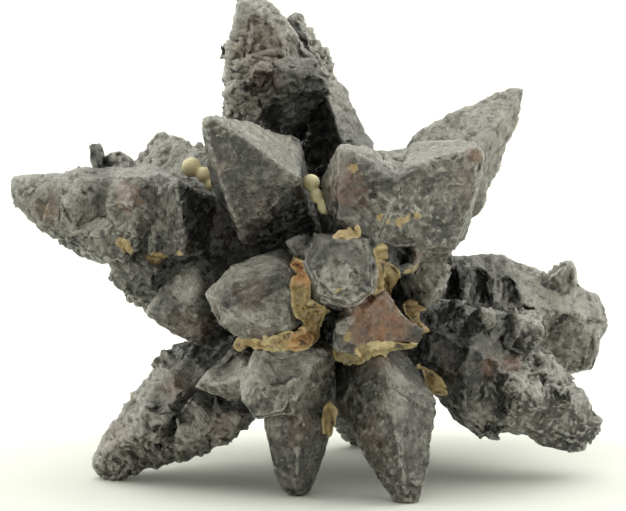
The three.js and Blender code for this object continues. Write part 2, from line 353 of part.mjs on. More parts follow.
function crystalSolid(crystal, seed) {
  const { corners, power, blunt, flat, ledges = 0, foot = ROOT_SHARE } = crystal;
  const root = vector(crystal.root);
  const tip = vector(crystal.tip);
  const axis = tip.clone().sub(root).normalize();
  const length = tip.distanceTo(root);
  const shares = corners.map((corner) => vector(corner).sub(root).dot(axis) / length);
  const girdle = shares.reduce((sum, share) => sum + share, 0) / shares.length;
  const onAxis = (t) => root.clone().lerp(tip, t);
  const section = sectionPoints(crystal, onAxis(girdle), axis);
  const meanReach = section.reduce((sum, { offset }) => sum + offset.length(), 0) / section.length;
  const worn = blunt / meanReach;
  const width = (t) => worn + (1 - worn) * Math.pow((1 - t) / (1 - girdle), power);

  // One ring at the share t of the length, scaled, stepped out by `step` and broken by the noise, whose
  // keys keep the rings and the kinds of unevenness apart.
  const ring = (t, scale, step, key) =>
    section.map(({ offset, bite }, i) => {
      const depth = bite * Math.min(1, scale / FADE_WIDTH);
      const ledge = key >> 1; // both rings of a ledge share it
      const uneven = SWING.base + SWING.spread * noise(seed, ledge, i);
      const swing = step * uneven + SWING.extra * noise(seed, key, i + 20);
      return onAxis(t)
        .addScaledVector(offset, scale)
        .addScaledVector(offset.clone().normalize(), depth * swing)
        .addScaledVector(axis, SLIDE * depth * noise(seed, ledge, i + 40));
    });

  const rings = [ring(0, foot, 0, 0), ring(girdle, 1, 0, 2)];
  const tipShare = 1 - (CAP_HEIGHT * blunt) / length;
  const climb = tipShare - girdle;
  for (let k = 0; k < ledges; k++) {
    const share = (k + LEDGE.middle + LEDGE.spread * noise(seed, k, 5)) / (ledges + LEDGE.spare);
    const start = girdle + climb * share;
    const end = start + (climb * LEDGE.lip) / ledges;
    rings.push(ring(start, width(start), LEDGE.step, 4 + 2 * k));
    rings.push(ring(end, width(end), -LEDGE.step, 5 + 2 * k));
  }
  rings.push(ring(tipShare, width(tipShare), 0, 90));
  return solidOf(skin(rings, root, flat ? onAxis(tipShare) : tip));
}

// ---------------------------------------------------------------- one calcite filling

// A run as one flattened rod with a flat side to the front, `grow` mm fatter all round.
function runSolid(run, grow) {
  const places = run.map(vector);
  const ends = places.length - 1;
  const along = (i) => places[Math.min(i + 1, ends)].clone().sub(places[Math.max(i - 1, 0)]).normalize();
  const rings = places.map((place, i) => {
    const tangent = along(i);
    const depth = new THREE.Vector3(0, 1, 0).projectOnPlane(tangent).normalize();
    const across = new THREE.Vector3().crossVectors(tangent, depth);
    const halfWidth = run[i][3];
    return Array.from({ length: RUN_SIDES }, (_, k) => {
      const angle = ((k + 0.5) * 2 * Math.PI) / RUN_SIDES;
      return place
        .clone()
        .addScaledVector(depth, (halfWidth * RUN_DEPTH + grow) * Math.cos(angle))
        .addScaledVector(across, (halfWidth + grow) * Math.sin(angle));
    });
  });
  const firstPole = places[0].clone().addScaledVector(along(0), -RUN_END * run[0][3] - grow);
  const lastPole = places[ends].clone().addScaledVector(along(ends), RUN_END * run[ends][3] + grow);
  return solidOf(skin(rings, firstPole, lastPole));
}

function beadSolid([x, y, z, radius], grow) {
  return solidOf(new THREE.IcosahedronGeometry(radius + grow, 1).translate(x, y, z));
}

function fillingSolid({ runs = [], beads = [] }, grow) {
  const rods = runs.map((run) => runSolid(run, grow));
  const balls = beads.map((bead) => beadSolid(bead, grow));
  return wasm.Manifold.union([...rods, ...balls]);
}

// ---------------------------------------------------------------- the star

const core = solidOf(new THREE.IcosahedronGeometry(CORE_RADIUS, 0));
const ground = new THREE.BoxGeometry(GROUND.width, GROUND.width, GROUND.depth);
ground.translate(0, 0, -HEART.z - GROUND.depth / 2);
const rear = REAR_CRYSTALS.map((crystal) => ({ ...crystal, corners: evenCorners(crystal) }));
const grown = [...FRONT_CRYSTALS, ...SPURS, ...rear].map(crystalSolid);
const pockets = FILLINGS.map((filling) => fillingSolid(filling, FILLING_GAP));
const bitten = [solidOf(ground), ...HOLLOWS.map(crystalSolid), ...pockets];
const cutStar = wasm.Manifold.union([core, ...grown]).subtract(wasm.Manifold.union(bitten));
// Crumbs that a cut freed are dropped.
const [star] = cutStar.decompose().sort((a, b) => b.volume() - a.volume());

// ---------------------------------------------------------------- the part

const stone = new THREE.MeshStandardMaterial({ color: 0x4a4742, roughness: 0.55, metalness: 0.0 });

const calcite = new THREE.MeshStandardMaterial({ color: 0xb08a4a, roughness: 0.5, metalness: 0.0 });

const part = new THREE.Group();
function place(name, solid, material) {
  const mesh = new THREE.Mesh(geometryOf(solid), material);
  mesh.name = name;
  part.add(mesh);
}
place("crystal_star", star, stone);
FILLINGS.forEach((filling) => place(filling.name, fillingSolid(filling, 0), calcite));
part.position.copy(HEART);

export default part;
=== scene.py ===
"""A glendonite star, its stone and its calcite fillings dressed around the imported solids."""

import math

import bpy
import numpy as np
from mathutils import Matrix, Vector
from mathutils.bvhtree import BVHTree


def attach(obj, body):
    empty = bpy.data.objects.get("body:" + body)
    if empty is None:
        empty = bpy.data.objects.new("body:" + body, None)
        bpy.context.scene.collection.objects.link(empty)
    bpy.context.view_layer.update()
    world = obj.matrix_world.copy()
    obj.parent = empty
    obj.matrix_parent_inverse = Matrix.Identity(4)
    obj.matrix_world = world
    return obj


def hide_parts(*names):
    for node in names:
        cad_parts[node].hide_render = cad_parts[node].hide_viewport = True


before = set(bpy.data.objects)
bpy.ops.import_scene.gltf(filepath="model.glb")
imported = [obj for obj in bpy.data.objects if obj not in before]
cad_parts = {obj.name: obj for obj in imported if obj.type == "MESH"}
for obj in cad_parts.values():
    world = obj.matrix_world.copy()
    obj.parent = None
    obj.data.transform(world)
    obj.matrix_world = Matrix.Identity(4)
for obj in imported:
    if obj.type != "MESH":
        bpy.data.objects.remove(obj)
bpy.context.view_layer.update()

MM = 0.001
HEART = np.array([0.65, -1.8, 13.0])  # where the crystals' axes meet, in mm
TABLE_LIFT = 0.02  # mm the feet's finish stays above the table

# ------------------------------------------------------------------ camera

IMAGE_WIDTH = 626  # px
FOCAL_PX = 4200.0
SENSOR = 36.0  # mm
CLIP_RANGE = (0.01, 10.0)  # m
CAMERA_TILT = math.radians(8.0)  # below the horizon
CAMERA_FROM_HEART = (-0.86, -296.74, 44.19)  # mm


def add_camera():
    data = bpy.data.cameras.new("camera")
    data.sensor_width = SENSOR
    data.lens = SENSOR * FOCAL_PX / IMAGE_WIDTH
    data.clip_start, data.clip_end = CLIP_RANGE
    camera = bpy.data.objects.new("camera", data)
    camera.location = Vector((HEART + np.array(CAMERA_FROM_HEART)) * MM)
    camera.rotation_euler = (math.radians(90) - CAMERA_TILT, 0, 0)
    bpy.context.collection.objects.link(camera)
    bpy.context.scene.camera = camera


add_camera()

# ------------------------------------------------------------------ the crystals

# Each crystal's axis, from the heart and in mm: root, tip and reach at the girdle, then how rough its faces
# are (0 flat, 1 deeply broken), the spacing of its growth ledges and how pale its stone is (0 dark, 1 pale).
CRYSTALS = {
    "top_shaft": ((-1.6, 2, 1.5), (-4.6, 4, 15), 4.4, 0.55, 0.9, 0.7),
    "top_cap": ((-3.2, 3, 9.5), (-5.7, 3.2, 20.8), 4.2, 0.55, 0.9, 0.65),
    "top_back": ((0.4, 2, 1.7), (-2.6, 6, 19.3), 4.2, 0.55, 1.0, 0.7),
    "left": ((-2, 0, 1), (-21.4, -1, 7.4), 4.9, 0.4, 1.1, 0.68),
    "left_outer": ((-12, -1, 5.4), (-22.4, -1.2, 7.5), 3.3, 0.36, 1.1, 0.7),
    "upper_left_front": ((-1.4, -2, 1.4), (-8.3, -9, 13.3), 4.8, 0.22, 0.5, 0.22),
    "upper_right_front": ((1.4, -1, 1.2), (10.8, -8.5, 11.1), 4.6, 0.28, 0.6, 0.52),
    "upper_front_bud": ((1.4, -2, 1), (0.9, -10.5, 11.6), 3.6, 0.3, 0.6, 0.6),
    "upper_front_bridge": ((2, -1, 1.2), (4.9, -8.4, 10.4), 3.6, 0.4, 0.6, 0.75),
    "upper_right_back": ((0.7, 1, 0.2), (14.1, 4, 14), 3.8, 0.3, 1.1, 1.0),
    "front_left": ((0, -3, 0.4), (-8.4, -10.3, 1.3), 4.0, 0.2, 1.1, 1.1),
    "front_centre": ((0.3, -3, 0.8), (1, -14.4, 3.1), 3.2, 0.4, 0.9, 0.85),
    "left_small": ((-3.6, -2, -0.4), (-12.6, -6, -0.7), 3.6, 0.4, 0.8, 0.6),
    "lower_left_front": ((-2.5, -4, -1.9), (-4.7, -13.8, -5.8), 3.6, 0.25, 0.9, 0.68),
    "lower_left_side": ((-2.8, -4, -1.9), (-9.1, -9, -5.4), 2.6, 0.2, 0.6, 0.5),
    "front_right": ((2.1, -3, -1), (3.7, -12.2, -1), 3.4, 0.08, 1.2, 0.6),
    "lower_left": ((-1.4, 0, -1.4), (-16.5, -3.5, -12.5), 4.2, 0.46, 1.0, 0.82),
    "lower_middle": ((-0.7, -2, -1.9), (-1.9, -9, -13.6), 3.0, 0.22, 0.6, 0.22),
    "lower_right": ((1.8, -2, -1.5), (5.5, -12, -13.6), 3.8, 0.22, 0.75, 0.32),
    "right_front": ((1.8, 0, -1.1), (19.5, -3, -9.5), 4.6, 0.5, 1.0, 0.3),
    "right_back": ((1.8, 3, -0.1), (21.2, 11, -4.2), 4.4, 0.5, 1.0, 0.7),
    "right_small": ((3.2, -2, 0.3), (8.7, -5.5, 3.9), 2.4, 0.3, 0.7, 1.3),
    "back_left": ((-1, 3, 1), (-13.4, 15.2, 7.8), 3.8, 0.6, 0.9, 0.7),
    "back_top": ((0, 2, 1), (-1.6, 13, 11), 3.4, 0.4, 0.7, 0.6),
    "back_middle": ((0, 2, 0), (-4, 18, 0.6), 3.8, 0.5, 0.7, 0.5),
    "back_right": ((1, 2, 0), (8.6, 16, 4.6), 3.4, 0.45, 0.8, 0.6),
    "back_lower_left": ((0, 1, -1), (-8.6, 13.4, -8), 3.5, 0.65, 0.8, 0.4),
    "back_lower_right": ((1, 1, 0), (11, 14.4, -8), 3.3, 0.6, 0.8, 0.4),
    "back_foot": ((0, 1, -1), (3.4, 10.5, -13.6), 3.1, 0.45, 0.8, 0.35),
    "left_rear": ((-1, 1, -0.5), (-14.6, 8.6, -1.8), 3.2, 0.6, 0.8, 0.5),
}

# ------------------------------------------------------------------ noise and mesh helpers

HASH_STEPS = (73856093, 19349663, 83492791)  # a large odd number for each direction
HASH_SEED = 2654435761
HASH_MIX = (2246822519, 3266489917)
HASH_SHIFTS = (15, 13)  # bits
HASH_HALF = 2147483647.5  # half the range of a mixed number
WHOLE = 0xFFFFFFFF
FAR_CELL = 1000.0  # noise cells are counted from so far out that none is below zero
LAYERS_SUM = 1.6  # about what two or three layers of noise add up to at most


def hashed(cell, seed):
    """Repeatable numbers in -1..1 for whole-number cells."""
    x, y, z = (cell[:, i].astype(np.uint32) * np.uint32(step) for i, step in enumerate(HASH_STEPS))
    mixed = (x ^ y ^ z ^ np.uint32(seed * HASH_SEED & WHOLE)) * np.uint32(HASH_MIX[0])
    mixed ^= mixed >> np.uint32(HASH_SHIFTS[0])
    mixed *= np.uint32(HASH_MIX[1])
    mixed ^= mixed >> np.uint32(HASH_SHIFTS[1])
    return mixed.astype(np.float64) / HASH_HALF - 1.0


def noise(points, size, seed):
    """Smooth noise in about -1..1, with features `size` mm apart."""
    scaled = points / size + FAR_CELL
    low = np.floor(scaled)
    part = scaled - low
    part = part * part * (3 - 2 * part)
    low = low.astype(np.int64)
    total = np.zeros(len(points))
    for corner in range(8):
        step = np.array([corner & 1, corner >> 1 & 1, corner >> 2 & 1])
        weight = np.prod(np.where(step == 1, part, 1 - part), axis=1)
        total += weight * hashed(low + step, seed)
    return total


def layered_noise(points, size, seed, layers):
    """Noise with finer and weaker layers in it, each with features half as far apart as the one before."""
    return sum(noise(points, size / 2**i, seed + i) / 2**i for i in range(layers)) / LAYERS_SUM


def smooth_step(values, low, high):
    share = np.clip((values - low) / (high - low), 0, 1)
    return share * share * (3 - 2 * share)


# Broken stone and drusy crust are both made of cells, each round a middle that strays from an even grid.
CELL_STRAY = 0.42  # how far a middle strays, in cells
CELL_BEND = 0.25  # how far noise bends the borders between cells, in cells
BEND_SIZE = 1.3  # size of the features of that noise, in cells
CREASE = 0.1  # width over which two facets are blended at their border, in cells


def bent(points, size, seed):
    """Points counted in cells of `size` mm, shifted a little so that no border is straight."""
    return points / size + CELL_BEND * noise(points, BEND_SIZE * size, seed + 5)[:, None]


def cells_around(counted, seed):
    """Each of the 27 cells round every point, with the way from the cell's middle to the point."""
    base = np.floor(counted).astype(np.int64)
    for step in np.ndindex(3, 3, 3):
        cell = base + np.array(step) - 1
        stray = np.stack([hashed(cell, seed + axis) for axis in range(3)], axis=1)
        yield cell, counted - cell - 0.5 - CELL_STRAY * stray


def crease_share(near):
    """Share of the nearest cell's facet at each point: a half on the border and 1 away from it."""
    return 0.5 + 0.5 * smooth_step(np.sqrt(near[1]) - np.sqrt(near[0]), 0, CREASE)


def positions(mesh):
    flat = np.empty(len(mesh.vertices) * 3)
    mesh.vertices.foreach_get("co", flat)
    return flat.reshape(-1, 3) / MM


def normals(mesh):
    flat = np.empty(len(mesh.vertices) * 3)
    mesh.vertices.foreach_get("normal", flat)
    return flat.reshape(-1, 3)


def move_to(mesh, points):
    mesh.vertices.foreach_set("co", (points * MM).ravel())
    mesh.update()


def new_object(name, mesh):
    piece = bpy.data.objects.new(name, mesh)
    bpy.context.collection.objects.link(piece)
    return piece


def apply_modifiers(piece):
    """The piece's mesh as its modifiers leave it, with the modifiers gone."""
    ready = piece.evaluated_get(bpy.context.evaluated_depsgraph_get())
    mesh = bpy.data.meshes.new_from_object(ready)
    piece.modifiers.clear()
    old = piece.data
    piece.data = mesh
    bpy.data.meshes.remove(old)
    mesh.name = piece.name


def node_copy(node, name):
    """A new object with a copy of a CAD node's mesh, in place."""
    source = bpy.data.objects[node]
    mesh = source.data.copy()
    mesh.transform(source.matrix_world)
    mesh.materials.clear()
    return new_object(name, mesh)


def remesh(piece, voxel_mm):
    modifier = piece.modifiers.new("remesh", "REMESH")
    modifier.mode = "VOXEL"
    modifier.voxel_size = voxel_mm * MM
    modifier.use_smooth_shade = True
    apply_modifiers(piece)


def decimate(piece, most_triangles):
    piece.data.calc_loop_triangles()
    count = len(piece.data.loop_triangles)
    if count > most_triangles:
        modifier = piece.modifiers.new("decimate", "DECIMATE")
        modifier.ratio = most_triangles / count
        apply_modifiers(piece)


def set_attribute(mesh, name, values):
    attribute = mesh.attributes.new(name, "FLOAT", "POINT")
    attribute.data.foreach_set("value", np.asarray(values, dtype=np.float32))


# ------------------------------------------------------------------ the dark stone

FACET_LIFT = 0.35  # how far a facet's middle is raised or lowered at most
FACET_TILT = 1.4  # how far its plane climbs or falls over one cell at most, in each direction


def facets(points, size, seed):
    """Broken stone in about -1..1: small tilted planes about `size` mm across that meet in sharp steps."""
    counted = bent(points, size, seed)
    near = np.full((2, len(points)), np.inf)  # squared distances to the nearest and second nearest middles
    plane = np.zeros((2, len(points)))  # heights of those two cells' planes
    for cell, offset in cells_around(counted, seed):
        away = (offset**2).sum(axis=1)
        height = FACET_LIFT * hashed(cell, seed + 9)
        for axis in range(3):
            height += FACET_TILT * offset[:, axis] * hashed(cell, seed + 20 + axis)
        closest = away < near[0]
        near[1] = np.where(closest, near[0], np.minimum(near[1], away))
        plane[1] = np.where(closest, plane[0], np.where(away <= near[1], height, plane[1]))
        near[0] = np.where(closest, away, near[0])
        plane[0] = np.where(closest, height, plane[0])
    share = crease_share(near)
    return share * plane[0] + (1 - share) * plane[1]


# The directions that tell apart the faces that share a cell: along the axes and to the corners between.
TURNS = np.array([turn for turn in np.ndindex(3, 3, 3) if sum(part != 1 for part in turn) in (1, 3)]) - 1.0
TURNS /= np.linalg.norm(TURNS, axis=1)[:, None]
MOST_PRESS = 0.6  # mm that pressing a facet flat moves a point at most
CELL_BITS = 14  # bits of a cell's count in each direction that go into its patch's label
CHANCE_BITS = 20  # how many bits further up the label each of the three numbers of its hash starts
CHANCE_SEEDS = (40, 41, 42, 43)  # added to the seed for a patch's three tilts and its lift


def patch_labels(cell, turn, owner):
    """One whole number for each point's patch: its cell, the way it faces and its crystal."""
    x, y, z = (cell[:, axis] & (1 << CELL_BITS) - 1 for axis in range(3))
    label = (x << CELL_BITS | y) << CELL_BITS | z
    return (label * len(TURNS) + turn) * len(CRYSTALS) + owner


def press_flat(points, outward, place, owner, size, seed, rough, tilt, lift):
    """Where the points lie once each patch about `size` mm across is one flat facet. `place` is where each
    point's patch is looked up and `owner` is its crystal. `tilt` and `lift` (mm) are how far a fully rough
    facet is turned and raised."""
    turn = np.argmax(outward @ TURNS.T, axis=1)
    near = np.full((2, len(points)), np.inf)
    code = np.zeros((2, len(points)), dtype=np.int64)
    for cell, offset in cells_around(bent(place, size, seed), seed):
        away = (offset**2).sum(axis=1)
        label = patch_labels(cell, turn, owner)
        closest = away < near[0]
        second = ~closest & (away < near[1])
        near[1] = np.where(closest, near[0], np.where(second, away, near[1]))
        code[1] = np.where(closest, code[0], np.where(second, label, code[1]))
        near[0] = np.where(closest, away, near[0])
        code[0] = np.where(closest, label, code[0])
    labels, patch = np.unique(code[0], return_inverse=True)
    count = np.bincount(patch)

    def mean(values):
        columns = values.reshape(len(points), -1).T
        return np.stack([np.bincount(patch, column) / count for column in columns], axis=1)

    parts = np.stack([labels, labels >> CHANCE_BITS, labels >> 2 * CHANCE_BITS], axis=1)
    *tilts, raising = (hashed(parts, seed + extra) for extra in CHANCE_SEEDS)
    middle, strength = mean(points), mean(rough)
    facing = mean(outward) + tilt * strength * np.stack(tilts, axis=1)
    facing /= np.linalg.norm(facing, axis=1)[:, None]
    raised = lift * strength[:, 0] * raising

    def laid(index):
        height = np.einsum("ij,ij->i", points - middle[index], facing[index]) - raised[index]
        return points - np.clip(height, -MOST_PRESS, MOST_PRESS)[:, None] * facing[index]

    other = np.minimum(np.searchsorted(labels, code[1]), len(labels) - 1)
    other = np.where(labels[other] == code[1], other, patch)
    share = crease_share(near)[:, None]
    return share * laid(patch) + (1 - share) * laid(other)


GIRDLE = 0.5  # share of a crystal's length where it is widest
ROOT_WIDTH = 0.45  # its width at the root, of its width there
TIP_WIDTH = 0.12  # what is added from there to the tip, so that a worn tip still belongs to its crystal


def nearest_crystal(points):
    """For points counted from the heart: the crystal that each belongs to, its axis, how far along the axis
    the point is, and that distance as a share of the crystal's length."""
    best = np.full(len(points), np.inf)
    owner = np.zeros(len(points), dtype=int)
    along = np.zeros(len(points))
    part = np.zeros(len(points))
    axes = np.zeros((len(CRYSTALS), 3))
    for index, (root, tip, reach, *_) in enumerate(CRYSTALS.values()):
        root, tip = np.array(root, float), np.array(tip, float)
        length = np.linalg.norm(tip - root)
        axes[index] = (tip - root) / length
        rise = (points - root) @ axes[index]
        radial = np.linalg.norm(points - root - rise[:, None] * axes[index], axis=1)
        share = np.clip(rise / length, 0, 1)
        rising = ROOT_WIDTH + (1 - ROOT_WIDTH) * share / GIRDLE
        falling = (1 - share) / (1 - GIRDLE) + TIP_WIDTH
        width = reach * np.where(share < GIRDLE, rising, falling)
        off_end = np.maximum(0, rise - length) + np.maximum(0, -rise)
        distance = radial / width + off_end
        closer = distance < best
        best[closer] = distance[closer]
        owner[closer] = index
        along[closer] = rise[closer]
        part[closer] = share[closer]
    return owner, axes[owner], along, part


class Surface:
    """A mesh's points and edges, for the work that is done on all of them at once. Sizes in mm."""

    def __init__(self, mesh):
        self.points, self.outward = positions(mesh), normals(mesh)
        edges = np.empty(len(mesh.edges) * 2, dtype=np.int64)
        mesh.edges.foreach_get("vertices", edges)
        self.edges = edges.reshape(-1, 2)
        self.count = np.bincount(edges, minlength=len(self.points))

    def spread(self, values, rounds):
        """Values, one or one row per point, eased halfway to their neighbours' mean in each round."""
        a, b = self.edges[:, 0], self.edges[:, 1]
        eased = np.array(values, dtype=float).reshape(len(self.points), -1)
        for _ in range(rounds):
            for column in range(eased.shape[1]):
                v = eased[:, column]
                total = np.bincount(a, v[b], len(v)) + np.bincount(b, v[a], len(v))
                eased[:, column] = 0.5 * v + 0.5 * total / self.count
        return eased.reshape(np.shape(values))


# Hollow faces between sharp ridges: place from the heart, radius and depth.
SCOOPS = (
    ((-7.0, -9.8, -3.5), 1.5, 0.7), ((-3.0, -12.5, -4.0), 1.9, 0.85), ((9.5, -5.6, -1.3), 1.6, 0.7),
    ((8.9, -6.8, -2.9), 1.5, 0.6), ((12.2, -7.4, -7.0), 1.4, 0.5), ((-11.2, -6.4, 5.5), 1.2, 0.5),
    ((-14.3, -6.4, 6.2), 1.0, 0.4), ((-11.6, -6.4, -6.8), 1.4, 0.55), ((-9.5, -6.4, -5.4), 1.2, 0.5),
    ((-1.8, 1.7, 17.0), 1.3, 0.5),
)
SCOOP_WAVER = 0.12  # how far a hollow face's rim wanders, in radii

WEAR_ROUNDS = 2  # rounds of easing that take the sharpness off the solids' own edges
BLEND_ROUNDS = 12  # rounds that blend the roughness of neighbouring crystals
FACING_ROUNDS = 4  # rounds that steady the way the surface faces before its patches are chosen
STRETCH_SIZE = 3.4  # mm across a smoother or a rougher stretch of a crystal
STRETCH_LEAST = 0.45  # share of its crystal's roughness that the smoothest stretch has
STRETCH_GAIN = 0.75  # what the roughest stretch has more than that
PATCH_SHORTER = 0.6  # how much more often patches change along their crystal's axis than across it
PATCH_SHIFT = 9.0  # mm between the places where one crystal's patches are looked up and the next one's
# The two sizes of facet: size in mm and seed; tilt and lift of a fully rough facet; share of the way to its
# facet that smooth stone is moved, and how fast that share grows to 1 with the roughness.
FACET_PASSES = (
    (2.2, 101, 0.55, 0.35, 0.5, 2.0),
    (0.95, 131, 0.6, 0.22, 0.3, 1.6),
)
LEDGE_WAVER = 0.6  # how far the line of a growth ledge wanders, in spacings
LEDGE_CLIMB = 0.75  # share of its spacing over which a ledge rises before it drops back
LEDGE_STEP = 0.37  # how far each crystal's ledges are out of step with the next one's, in spacings
# Relief that is carved into the facets: its depth in mm on smooth stone, and what full roughness adds.
RELIEF = {
    "chips": (0.012, 0.13),
    "ledges": (0.0, 0.5),
    "swell": (0.05, 0.0),
    "grain": (0.02, 0.0),
    "pits": (0.03, 0.06),
}


def growth_ledges(centred, owner, along, spacing):
    """Heights in -0.5..0.5 of ledges across the crystals' axes, fading out in places."""
    part = along / spacing + LEDGE_WAVER * layered_noise(centred, 2.0, 21, 2) + LEDGE_STEP * owner
    part = part - np.floor(part)
    ledges = np.where(part < LEDGE_CLIMB, part / LEDGE_CLIMB, (1 - part) / (1 - LEDGE_CLIMB)) - 0.5
    return ledges * smooth_step(noise(centred, 1.6, 31), -0.3, 0.6)


def carve_stone(surface):
    """Where the stone's points lie once it has its facets, ledges, lumps, pits and grain."""
    worn = surface.spread(surface.points, WEAR_ROUNDS)
    centred = worn - HEART
    owner, axis, along, reached = nearest_crystal(centred)
    table = np.array([entry[3:5] for entry in CRYSTALS.values()])[owner]
    rough, spacing = surface.spread(table[:, 0], BLEND_ROUNDS), table[:, 1]
    stretch = smooth_step(layered_noise(centred, STRETCH_SIZE, 11, 2), -0.45, 0.5)
    rough = rough * (STRETCH_LEAST + STRETCH_GAIN * stretch)

    place = centred + axis * (PATCH_SHORTER * along)[:, None] + PATCH_SHIFT * owner[:, None]
    outward = surface.spread(surface.outward, FACING_ROUNDS)
    for size, seed, tilt, lift, least, gain in FACET_PASSES:
        flat = press_flat(worn, outward, place, owner, size, seed, rough, tilt, lift)
        share = least + (1 - least) * np.minimum(1, gain * rough)
        worn = worn + share[:, None] * (flat - worn)

    patterns = {
        "chips": facets(centred, 0.5, 161),
        "ledges": growth_ledges(centred, owner, along, spacing),
        "swell": layered_noise(centred, 3.2, 41, 2),
        "grain": layered_noise(centred, 0.4, 51, 3),
        "pits": -smooth_step(noise(centred, 0.75, 61), 0.5, 0.8),
    }
    shift = sum((depth + added * rough) * patterns[name] for name, (depth, added) in RELIEF.items())
    for middle, radius, depth in SCOOPS:
        away = np.linalg.norm(centred - np.array(middle), axis=1) / radius + SCOOP_WAVER * patterns["swell"]
        shift -= depth * np.clip(1 - away**2, 0, 1)
    return worn + surface.outward * shift[:, None], owner, along, reached


SKY_RAYS = 26  # directions over the whole sphere in which the sky is looked for
SKY_DISTANCE = 14.0  # mm beyond which the stone hides no sky
SKY_START = 0.05  # mm above the surface where a ray starts
SKY_STRAY = 0.3  # how far each ray strays from its even direction, for a ray 1 long
SKY_LEAST = 0.05  # cosine between the surface's normal and a ray that is still counted, at least
SKY_ROUNDS = 4  # rounds of easing over the counts


def sheltered(surface, tree):
    """The share of the sky in front of each point that the stone hides, which the material turns into
    painted shade.
    """
    turns = np.arange(SKY_RAYS) + 0.5
    height = 1 - 2 * turns / SKY_RAYS
    angle = math.pi * (1 + math.sqrt(5)) * turns
    level = np.sqrt(1 - height**2)
    even = np.stack([level * np.cos(angle), level * np.sin(angle), height], axis=1)
    draw = np.random.default_rng(5)
    starts = (surface.points + SKY_START * surface.outward) * MM
    hidden = np.zeros(len(starts))
    seen = np.zeros(len(starts))
    for direction in even:
        rays = direction + draw.uniform(-SKY_STRAY, SKY_STRAY, (len(starts), 3))
        rays /= np.linalg.norm(rays, axis=1)[:, None]
        facing = np.einsum("ij,ij->i", rays, surface.outward)
        for index in np.nonzero(facing > SKY_LEAST)[0]:
            hit = tree.ray_cast(Vector(starts[index]), Vector(rays[index]), SKY_DISTANCE * MM)[3]
            if hit is None:
                seen[index] += facing[index]
            else:
                hidden[index] += facing[index]
    return surface.spread(hidden / np.maximum(hidden + seen, 1e-6), SKY_ROUNDS)


STONE_VOXEL, QUICK_STONE_VOXEL = 0.12, 0.24  # mm
STONE_TRIANGLES, QUICK_STONE_TRIANGLES = 196000, 90000


def build_stone():
    voxel = STONE_VOXEL
    stone = node_copy("crystal_star", "star_stone")
    remesh(stone, voxel)
    mesh = stone.data
    surface = Surface(mesh)
    points, owner, along, reached = carve_stone(surface)
    move_to(mesh, points)
    surface = Surface(mesh)
    mark_stone(mesh, surface, owner, along, reached, STONE_VOXEL / voxel)
    decimate(stone, STONE_TRIANGLES)
    mesh = stone.data
    points = positions(mesh)
    points[:, 2] = np.maximum(points[:, 2], TABLE_LIFT)
    move_to(mesh, points)
    tree = BVHTree.FromObject(stone, bpy.context.evaluated_depsgraph_get())
    # How much sky the stone hides, for the painted shade in its material.
    set_attribute(mesh, "sheltered", sheltered(Surface(mesh), tree))
    mesh.shade_smooth()
    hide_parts("crystal_star")
    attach(stone, "root")
    return stone, tree


# Rusty stains: place from the heart, radius, strength.
STAINS = (
    ((-4.5, 0.6, 17.5), 1.5, 0.35), ((-4.6, -2.0, 15.8), 1.0, 0.45), ((-13.6, -6.1, 7.9), 0.9, 0.7),
    ((-13.2, -6.3, 7.0), 0.7, 0.6), ((-19.7, -3.2, 6.2), 0.7, 0.7), ((-19.4, -3.2, 5.4), 0.6, 0.5),
    ((1.3, -11.4, 9.0), 1.0, 0.6), ((2.2, -11.6, 8.4), 0.8, 0.5), ((10.3, -9.0, 10.7), 0.5, 1.0),
    ((3.8, -11.1, -0.6), 1.8, 1.4), ((2.5, -11.3, -0.4), 0.9, 0.6), ((4.9, -11.0, 0.2), 0.9, 0.7),
    ((-10.7, -6.4, -5.8), 0.8, 0.55), ((-14.8, -5.0, -9.6), 0.8, 0.5), ((-9.1, -7.0, -1.8), 0.9, 0.4),
    ((-9.8, -7.5, -1.0), 0.8, 0.35), ((-6.9, -8.6, -8.2), 1.0, 0.35), ((13.3, -6.1, -4.6), 0.7, 0.9),
    ((11.3, -6.8, -4.4), 0.5, 0.7), ((6.7, -8.6, 3.4), 0.6, 0.6), ((-7.6, -8.5, 10.0), 0.6, 0.4),
    ((-5.4, -10.5, 6.0), 1.6, 0.25), ((-5.2, -12.8, 1.6), 1.0, 0.25), ((-1.8, -12.1, -7.9), 1.0, 0.35),
    ((3.2, -12.0, -8.6), 1.0, 0.25), ((9.0, 12.0, 3.4), 1.2, 0.7), ((-8.0, 13.0, 4.0), 1.0, 0.6),
    ((-6.0, 11.0, -6.0), 1.0, 0.6), ((16.0, 11.5, -1.0), 1.0, 0.7), ((-2.0, 12.0, 9.0), 1.0, 0.7),
)
